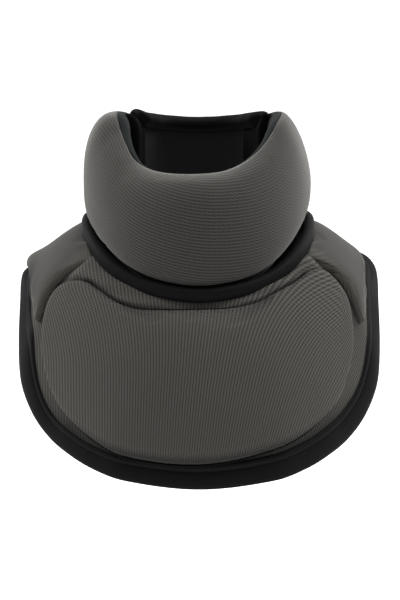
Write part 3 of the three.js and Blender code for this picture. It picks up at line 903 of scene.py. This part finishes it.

# %% [markdown]
# ## Pads on the bib
#
# Each pad's outline is a closed table of turns and runs. A grid of squares is bent to fill it,
# finer towards the seam, so there is no pole in the middle. Every point's height depends on how far
# in from the seam it lies: steep at first, like stitched foam, then nearly level. The cover is then
# filled with air, and its steep wall is painted ("wall"): on the chest pad the knit darkens there
# as painted shade, and on the shoulder pads the knit is stretched open there, its ribs and holes
# showing.

# %% Outline helpers
CHEST = [
    (0, 0.165), (17, 0.18), (30, 0.182), (39.5, 0.185), (48.5, 0.195), (54.5, 0.2), (58.5, 0.212),
    (62, 0.25), (64.3, 0.31), (65.7, 0.39), (66.2, 0.47), (65.4, 0.54), (63.6, 0.61), (62, 0.67),
    (59, 0.735), (55, 0.785), (49.5, 0.835), (42.5, 0.86), (34, 0.88), (25, 0.89), (13, 0.905),
    (0, 0.914), (-13, 0.918), (-22, 0.917), (-31, 0.908), (-39, 0.892), (-46.5, 0.872),
    (-52, 0.845), (-57, 0.805), (-60.6, 0.75), (-63.2, 0.69), (-65.2, 0.62), (-66.4, 0.55),
    (-66.6, 0.48), (-65.6, 0.41), (-63.4, 0.35), (-60, 0.308), (-56.5, 0.276), (-52.5, 0.26),
    (-46, 0.256), (-40, 0.258), (-34, 0.255), (-27, 0.235), (-17, 0.2),
]
SHOULDERS = {
    "left": [
        (-60.3, 0.13), (-63, 0.22), (-66, 0.32), (-67.8, 0.42), (-68.4, 0.52), (-68.2, 0.61),
        (-69.0, 0.68), (-73, 0.625), (-79, 0.61), (-87, 0.655), (-95, 0.72), (-103, 0.725),
        (-111, 0.67), (-116, 0.56), (-117, 0.43), (-113, 0.27), (-104, 0.12), (-92, 0.09),
        (-80, 0.09), (-69, 0.1), (-62, 0.108),
    ],
    "right": [
        (61.5, 0.12), (64, 0.2), (66.6, 0.31), (68, 0.42), (68.4, 0.52), (68.2, 0.61), (69, 0.68),
        (72.5, 0.645), (77, 0.6), (84, 0.6), (92, 0.63), (99, 0.62), (106, 0.57), (111, 0.48),
        (113, 0.37), (110, 0.24), (103, 0.12), (92, 0.09), (80, 0.09), (69, 0.1), (63, 0.106),
    ],
}
SEAM_CROWDING = 0.4
SEAM_LIFT = 0.0012
UNDER_LIFT = 0.0004


def rounded_outline(rows, count=720):
    """A closed smooth curve through the rows of an outline."""
    rows = np.asarray(rows, float)
    at = np.linspace(0, len(rows), count, endpoint=False)
    i = at.astype(int)
    t = (at - i)[:, None]
    p = [rows[(i + k) % len(rows)] for k in (-1, 0, 1, 2)]
    return 0.5 * (
        2 * p[1] + (p[2] - p[0]) * t + (2 * p[0] - 5 * p[1] + 4 * p[2] - p[3]) * t**2
        + (3 * p[1] - p[0] - 3 * p[2] + p[3]) * t**3
    )


def pad_grid(rows, centre, cells):
    """Turns and runs of a square grid bent to fill an outline, and the outline itself."""
    stretch = np.array([2.2, 160.0])  # millimetres in one degree and in the whole run, roughly
    edge = rounded_outline(rows)
    spokes = (edge - centre) * stretch
    angles = np.arctan2(spokes[:, 1], spokes[:, 0])
    order = np.argsort(angles)
    reach = np.hypot(*spokes.T)[order]
    side = np.linspace(-1, 1, cells + 1)
    side = side + SEAM_CROWDING * np.sin(np.pi * side) / np.pi
    x, y = np.meshgrid(side, side, indexing="ij")
    disk_x, disk_y = x * np.sqrt(1 - y * y / 2), y * np.sqrt(1 - x * x / 2)
    angle = np.arctan2(disk_y, disk_x)
    radius = np.interp(angle, angles[order], reach, period=2 * np.pi) * np.hypot(disk_x, disk_y)
    grid = centre + np.stack([np.cos(angle), np.sin(angle)], -1) * radius[..., None] / stretch
    return grid, edge


def relaxed(points, hold, rounds):
    """Points of a grid drawn towards their neighbours, less so where hold is near 0."""
    points = points.copy()
    ease = 0.8 * hold[1:-1, 1:-1, None]
    for _ in range(rounds):
        inner = (points[:-2, 1:-1] + points[2:, 1:-1] + points[1:-1, :-2] + points[1:-1, 2:]) / 4
        points[1:-1, 1:-1] += ease * (inner - points[1:-1, 1:-1])
    return points


def pad_piece(name, rows, centre, cells, crown, rounds, rounding, height, dark):
    """A closed stuffed cover on the bib. Returns the piece and its seam and underside points.

    rounding and height are functions of turn and run, in metres, and so is dark, the share of
    the wall that is painted: painted shade on the chest pad, stretched-open knit on the shoulder
    pads.
    crown is the extra height in the middle, and rounds says how often the points are drawn towards
    their neighbours.
    """
    grid, edge = pad_grid(rows, np.array(centre, float), cells)
    turn, run = grid[..., 0], grid[..., 1]
    seam = bib_point(edge[:, 0], edge[:, 1], 0.0)
    flat = bib_point(turn, run, 0.0)
    gap = np.full(flat.shape[:2], 1.0)
    for start in range(0, len(seam), 60):
        part = seam[start : start + 60]
        gap = np.minimum(gap, np.linalg.norm(flat[..., None, :] - part, axis=-1).min(-1))
    share = np.minimum(gap / rounding(turn, run), 1)
    level = np.sqrt(1 - (1 - share) ** 2)
    far = gap / gap.max()
    lift = SEAM_LIFT + (height(turn, run) - SEAM_LIFT) * level + crown * (1 - (1 - far) ** 2)
    top = relaxed(bib_point(turn, run, lift), ramp(gap - 0.002, 0.012), rounds)
    low = bib_point(turn, run, UNDER_LIFT)
    n = cells + 1
    index = np.arange(n * n).reshape(n, n)
    rim = [*index[0, :-1], *index[:-1, -1], *index[-1, :0:-1], *index[:0:-1, 0]]
    points = np.concatenate([top.reshape(-1, 3), low.reshape(-1, 3)])
    uv = np.stack(chest_weave(top.reshape(-1, 3)), -1)
    faces, weave = [], []
    for a in range(cells):
        for b in range(cells):
            quad = (index[a, b], index[a + 1, b], index[a + 1, b + 1], index[a, b + 1])
            faces += [quad, tuple(k + n * n for k in quad[::-1])]
            weave += [uv[k] for k in quad + quad[::-1]]
    for k, a in enumerate(rim):
        b = rim[(k + 1) % len(rim)]
        faces.append((a, b, b + n * n, a + n * n))
        weave += [uv[a], uv[b], uv[b], uv[a]]
    piece = face_out(new_piece(name, points, faces, weave))
    # The wall's number: painted shade on the chest pad, stretched-open knit on the shoulder pads.
    wall_shade_and_stretch = (1 - share) * dark(turn, run)
    point_values(piece, "wall", np.concatenate([wall_shade_and_stretch.ravel(), np.zeros(n * n)]))
    return piece, rim + list(range(n * n, 2 * n * n))


print("chest outline rows:", len(CHEST))

# %% Chest pad
CHEST_HEIGHT = 0.0115


def under_throat(turn, run):
    """The upper middle of the chest pad, where it rises gradually, in two parts: run and turn."""
    return ramp(0.5 - run, 0.3), ramp(34 - np.abs(turn), 16)


def chest_hem(turn, run):
    return ramp(run - 0.74, 0.16) * ramp(68 - np.abs(turn), 34)


def chest_wall_shade(turn, run):
    """Painted shade on the pad's knit towards its seam: most at the hem, hardly under the throat.
    """
    upper, throat = under_throat(turn, run)
    return 1 - 0.8 * (upper * throat) + 0.5 * chest_hem(turn, run)


def chest_rounding(turn, run):
    """Crisp at the sides, wider at the hem and very gradual under the throat."""
    upper, throat = under_throat(turn, run)
    crease = ramp(0.34 - run, 0.04) * (1 - throat)
    return 0.0042 - 0.0012 * crease + 0.026 * upper * throat + 0.007 * chest_hem(turn, run)


def chest_height(turn, run):
    return CHEST_HEIGHT


chest, held = pad_piece(
    "chest_cover", CHEST, (0, 0.55), 96, 0.003, 8, chest_rounding, chest_height, chest_wall_shade
)
puff(chest, held, 1.2, 0.0009, slack=0.002)
finish(chest, "chest_pad", grey_knit, fine=1)
print("chest cover:", len(chest.data.polygons), "faces")

# %% Shoulder pads
def shoulder_rounding(turn, run):
    """Wide at the front wall, narrow beside the neck roll and along the outer edge."""
    front = ramp(69.5 + 13 * (run - 0.12) - np.abs(turn), 8)
    back = ramp(np.abs(turn) - 102, 10)
    inner = ramp(0.3 - run, 0.12) * (1 - 0.8 * front)
    return (0.005 + 0.014 * front + 0.005 * back) * (1 - 0.45 * inner)


def shoulder_height(turn, run):
    """Lower where the neck roll presses on it, and at the outside of one shoulder."""
    tucked = ramp(np.abs(turn) - 50, 22) * (1 - ramp(run - 0.1, 0.22)) ** 1.5
    lower = ramp(turn - 78, 16) * ramp(run - 0.3, 0.3)
    return 0.0135 - 0.008 * tucked - 0.005 * lower


def shoulder_front(turn, run):
    """Where the knit of a shoulder pad is stretched open: along its front wall."""
    return ramp(82 - np.abs(turn), 8)


for side, name in ((-1, "left"), (1, "right")):
    pad, held = pad_piece(
        f"shoulder_cover_{name}", SHOULDERS[name], (side * 90, 0.4), 64, 0.0, 220,
        shoulder_rounding, shoulder_height, shoulder_front,
    )
    puff(pad, held, 1.2, 0.0008, slack=0.006)
    finish(pad, f"shoulder_pad_{name}", smooth_knit, fine=1)
    print(pad.name, len(pad.data.polygons), "faces")

# %% [markdown]
# ## Neck binding
#
# A roll of black stretch cloth hides the seam between collar and bib. It is lofted along the
# neckline and swells a little where the line turns to the shoulders, with small puckers where the
# cloth gathers.

# %% Neck binding
ROLL_HALF_WIDTH = 0.0047
ROLL_HALF_HEIGHT = 0.0061
ROLL_SWELL = 0.0016
ROLL_LIFT = 0.0006


def squared(wave):
    """A sine or cosine pushed outwards, for a section between an oval and a square."""
    return np.sign(wave) * np.abs(wave) ** 0.8


binding_turns = np.linspace(-COLLAR_END, COLLAR_END, 220)
angles = np.linspace(0, 2 * np.pi, 28, endpoint=False)
rings = []
for turn in binding_turns:
    gather = 1 + 0.012 * math.sin(turn * 1.9) * math.sin(turn * 0.53 + 1)
    broad = bell(abs(turn), 56, 16)
    outward = 0.0012 * broad + 0.0024 * bell(turn, -86, 14)
    half_width = (ROLL_HALF_WIDTH + ROLL_SWELL * broad) * gather
    half_height = (ROLL_HALF_HEIGHT + ROLL_SWELL * broad) * gather
    middle = neckline_height(turn) + ROLL_LIFT - 0.003 * ramp(abs(turn) - 90, 12)
    radius = neckline_radius(turn) + outward + half_width * squared(np.cos(angles))
    rings.append(polar(turn, radius, middle + half_height * squared(np.sin(angles))))
binding = strip("neck_roll", binding_turns, rings, 0.035, 0.1, round_ends=0.003)
finish(binding, "neck_binding", black_binding)
print("neck roll:", len(binding.data.polygons), "faces")

# %% [markdown]
# ## Edge binding
#
# The bib's raw edge is wrapped in a folded strip of the same black cloth, stitched down along one
# line. Seen from outside it swells on both sides of that line, narrow towards the bib and broad
# towards the edge, and the line itself is darkened with painted shade ("groove").

# %% Edge binding
GROOVE_SHARE = 0.3
GROOVE_SHADE_HALF = 0.07
NARROW_HUMP = 0.0017
BROAD_HUMP = 0.0023
UNDER_HUMP = 0.0018


def hump(share):
    """A round hump over shares from 0 to 1, as steep at its start as a stuffed fold."""
    return np.sqrt(np.clip(np.sin(np.pi * np.clip(share, 0, 1)), 0, 1))


share = np.linspace(0, 1, 22)
narrow = NARROW_HUMP * hump(share / GROOVE_SHARE)
broad = BROAD_HUMP * hump((share - GROOVE_SHARE) / 0.95)
nose_drop = np.where(share > 0.9, 1 - (share - 0.9) * 2, 1)
above = CLEARANCE + np.where(share < GROOVE_SHARE, narrow, broad) * nose_drop
below = -PANEL_THICKNESS - CLEARANCE - UNDER_HUMP * hump(0.12 + 0.8 * share)
rings = []
for turn, lap, edge in zip(panel_turns, laps, edges):
    runs = lap + (1 - lap) * share
    rings.append(np.concatenate([
        bib_point(turn, runs, above),
        bib_point(turn, np.array([1.0]), np.array([-PANEL_THICKNESS / 2])),
        bib_point(turn, runs[::-1], below),
        bib_point(turn, np.array([lap, edge]), -PANEL_THICKNESS - CLEARANCE),
        bib_point(turn, np.array([edge, lap]), CLEARANCE),
    ]))
edging = strip("edge_cloth", panel_turns, rings, 0.05, 0.15)
# The share of painted shade along the groove line, 1 at its middle.
groove = np.zeros((len(rings), len(rings[0])))
groove[:, : len(share)] = np.clip(1 - np.abs(share - GROOVE_SHARE) / GROOVE_SHADE_HALF, 0, 1)
groove_shades = np.append(groove.ravel(), np.zeros(len(edging.data.vertices) - groove.size))
point_values(edging, "groove", groove_shades)
finish(edging, "edge_binding", grooved_binding)
print("edge cloth:", len(edging.data.polygons), "faces")

# %% [markdown]
# ## Band behind the neck
#
# A neoprene band closes the collar. Its top is folded over soft foam into a roll, whose two ends
# taper where the fold is sewn down. One tab of hook-and-loop lies across its outside, and a padded
# flap stands at each end, against the lining.

# %% Band, roll and tab
BAND_TURN = 106
BAND_THICKNESS = 0.004
BAND_ROLL = 0.015
BAND_FOOT = 0.006
TAB_FOOT = BAND_FOOT + 0.014
TAB_HEIGHT = 0.046
TAB_THICKNESS = 0.0026
FLAP_THICKNESS = 0.0075
FLAP_SHORT_BY = 4
BAND = {
    "turn": [106, 112, 122, 131, 141, 152, 166, 180],
    "reach": [0.985, 0.985, 0.985, 0.985, 1.01, 1.01, 0.985, 0.975],
    "top": [0.985, 0.975, 0.952, 0.93, 0.904, 0.882, 0.864, 0.857],
}


def band_face(turn):
    return NECK_RADIUS * float(read(BAND, "reach", 180 - abs(180 - turn)))


def band_top(turn):
    return COLLAR_RISE * float(read(BAND, "top", 180 - abs(180 - turn)))


def around(name, turns, section, round_ends=0.0):
    """A strip round the neck through the sections that a function gives."""
    rings = [polar(turn, *np.array(section(turn)).T) for turn in turns]
    return strip(name, turns, rings, 0.1, 0.06, round_ends)


def soft_strip(inner, outer, foot, top):
    """A strip's section with its long edges rounded over."""
    half = (outer - inner) / 2
    turn_up = np.linspace(0, np.pi, 7)
    up = [(inner + half + half * math.cos(a), top - half + half * math.sin(a)) for a in turn_up]
    down = [(inner + half - half * math.cos(a), foot + half - half * math.sin(a)) for a in turn_up]
    sides = np.linspace(top - half, foot + half, 14)[1:-1]
    return up + [(inner, h) for h in sides] + down + [(outer, h) for h in sides[::-1]]


def band_section(turn):
    face = band_face(turn)
    return soft_strip(face - BAND_THICKNESS, face, BAND_FOOT, band_top(turn) - BAND_ROLL * 0.6)


def roll_section(turn):
    """A round section, thinner at both ends and raised a little where one flap holds it."""
    angle = np.linspace(0, 2 * np.pi, 30, endpoint=False)
    swell = 1 + 0.012 * math.sin(math.radians(turn) * 11) * math.sin(math.radians(turn) * 4.3)
    past = float(ramp(min(turn, 360 - turn) - 103, 15))
    radius = BAND_ROLL / 2 * (0.45 + 0.55 * past * past * (3 - 2 * past))
    middle = band_face(turn) - BAND_THICKNESS * 1.2 + BAND_ROLL / 2 - radius
    top = band_top(turn) + 0.002 * bell(turn, 252, 7)
    return np.stack(
        [middle + radius * swell * np.cos(angle), top - radius + radius * swell * np.sin(angle)], 1
    )


def tab_section(turn):
    inner = band_face(turn) + CLEARANCE
    return soft_strip(inner, inner + TAB_THICKNESS, TAB_FOOT, TAB_FOOT + TAB_HEIGHT)


def flap_section(turn):
    """A padded flap against the lining: it follows the wall up and flares with it at the rim."""
    seat = LINING_THICKNESS + 3 * CLEARANCE
    wall = np.array(inner_wall(turn if turn <= 180 else turn - 360, seat, 12))
    wall = wall[wall[:, 1] > BAND_FOOT][:-FLAP_SHORT_BY]
    walk = np.gradient(wall, axis=0)
    out = np.stack([-walk[:, 1], walk[:, 0]], 1) / np.linalg.norm(walk, axis=1, keepdims=True)
    rise = (wall[:, 1] - BAND_FOOT) / (wall[-1, 1] - BAND_FOOT)
    thick = FLAP_THICKNESS * np.sqrt(np.clip(1 - (2 * rise - 1) ** 8, 0.02, 1))[:, None]
    return np.concatenate([wall, (wall + out * thick)[::-1]])


band_turns = np.linspace(BAND_TURN, 360 - BAND_TURN, 110)
band = around("band_cloth", band_turns, band_section, round_ends=0.001)
finish(band, "rear_band", neoprene)
roll_turns = np.linspace(BAND_TURN - 3, 363 - BAND_TURN, 110)
roll = around("band_roll", roll_turns, roll_section, round_ends=0.003)
finish(roll, "rear_roll", shaded_neoprene)
for name, first, last in (("flap_right", 103, 132), ("flap_left", 245, 261)):
    flap_turns = np.linspace(first, last, 4 + (last - first) * 2)
    flap = around(name, flap_turns, flap_section, round_ends=0.002)
    finish(flap, None, shaded_neoprene)
    print(name, len(flap.data.polygons), "faces")
tab = around("closure_patch", np.linspace(146, 214, 60), tab_section, round_ends=0.001)
finish(tab, "closure_tab", neoprene)
print("band, roll and tab:", [len(o.data.polygons) for o in (band, roll, tab)], "faces")

# %% [markdown]
# ## Stitches
#
# A stitch is the same short thread again and again along a seam, which is work for Geometry Nodes:
# the seam's line becomes a curve, points are set along it at the stitch length, and a small capsule
# stands on each, turned along the seam. One row, a thick cord without gaps along the chest pad's
# foot, is painted shade for the crease there.

# %% Stitch tree
STITCH_ROW, t, given, result = effect(
    "stitch_row",
    [
        ("Seam", "NodeSocketGeometry", None),
        ("Stitch Length", "NodeSocketFloat", 0.003),
        ("Gap", "NodeSocketFloat", 0.0012),
        ("Thread Radius", "NodeSocketFloat", 0.0004),
        ("Thread", "NodeSocketMaterial", None),
    ],
    [("Stitches", "NodeSocketGeometry")],
    "GeometryNodeTree",
)
curve = t.node("GeometryNodeMeshToCurve", Mesh=given.outputs["Seam"])
pitch = t.math("ADD", given.outputs["Stitch Length"], given.outputs["Gap"])
spots = t.node(
    "GeometryNodeCurveToPoints", {"mode": "LENGTH"}, Curve=curve.outputs["Curve"], Length=pitch
)
bead = t.node("GeometryNodeMeshUVSphere", Segments=6, Rings=5, Radius=1)
half = t.math("MULTIPLY", given.outputs["Stitch Length"], 0.5)
thin = given.outputs["Thread Radius"]
size = t.node("ShaderNodeCombineXYZ", X=thin, Y=thin, Z=half)
beads = t.node(
    "GeometryNodeInstanceOnPoints", Points=spots.outputs["Points"], Instance=bead.outputs["Mesh"],
    Rotation=spots.outputs["Rotation"], Scale=size.outputs[0],
)
real = t.node("GeometryNodeRealizeInstances", Geometry=beads.outputs[0])
thread = given.outputs["Thread"]
paint = t.node("GeometryNodeSetMaterial", Geometry=real.outputs[0], Material=thread)
t.feed(result.inputs["Stitches"], paint.outputs[0])
print("made", STITCH_ROW.name)


def stitch_row(name, lines, slot, length, gap, thread):
    """Stitches along one or more lines of points, as one plain mesh."""
    points, edges = [], []
    for line in lines:
        edges += [(len(points) + i, len(points) + i + 1) for i in range(len(line) - 1)]
        points += [tuple(p) for p in line]
    mesh = bpy.data.meshes.new(name)
    mesh.from_pydata(points, edges, [])
    seam = new_object(name, mesh)
    nodes = seam.modifiers.new("stitches", "NODES")
    nodes.node_group = STITCH_ROW
    wanted = {"Stitch Length": length, "Gap": gap, "Thread Radius": thread, "Thread": black_thread}
    for item in STITCH_ROW.interface.items_tree:
        if item.in_out == "INPUT" and item.name in wanted:
            nodes[item.identifier] = wanted[item.name]
    depsgraph = bpy.context.evaluated_depsgraph_get()
    made = bpy.data.meshes.new_from_object(seam.evaluated_get(depsgraph), depsgraph=depsgraph)
    seam.modifiers.remove(nodes)
    seam.data = made
    made.polygons.foreach_set("use_smooth", [True] * len(made.polygons))
    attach(seam, "root")
    print(name, len(made.polygons), "faces")


# %% Stitch rows
FINE_STITCH = {"length": 0.0026, "gap": 0.001, "thread": 0.00035}
CREASE_SHADE_CORD = {"length": 0.0034, "gap": 0.0, "thread": 0.0009}
CREASE_SHADE_OFFSET = 0.0021
TAB_SEAM_TURNS = (149, 211)
TAB_SEAM_HEIGHTS = (0.0225, 0.0635)

edge_line = bib_point(panel_turns, laps + (1 - laps) * GROOVE_SHARE, 0.0007)
stitch_row("edge_stitches", [edge_line], "binding", **FINE_STITCH)

# Painted shade: a thick black cord along the chest pad's foot stands for the dark crease there.
outline = rounded_outline(CHEST, 1200)
crease_shade_line = bib_point(outline[:, 0], outline[:, 1], UNDER_LIFT)
spread = crease_shade_line - crease_shade_line.mean(0)
crease_shade_line += CREASE_SHADE_OFFSET * spread / np.linalg.norm(spread, axis=1, keepdims=True)
stitch_row("chest_crease_shade_cord", [crease_shade_line], "binding", **CREASE_SHADE_CORD)


def on_tab(turn, height):
    return polar(turn, band_face(turn) + 0.003, height)


sweep = np.linspace(*TAB_SEAM_TURNS, 60)
tab_rows = [np.array([on_tab(turn, height) for turn in sweep]) for height in TAB_SEAM_HEIGHTS]
tab_rows += [on_tab(turn, np.linspace(*TAB_SEAM_HEIGHTS, 30)) for turn in TAB_SEAM_TURNS]
stitch_row("tab_stitches", tab_rows, "neoprene", **FINE_STITCH)

# %% Final update
bpy.context.view_layer.update()
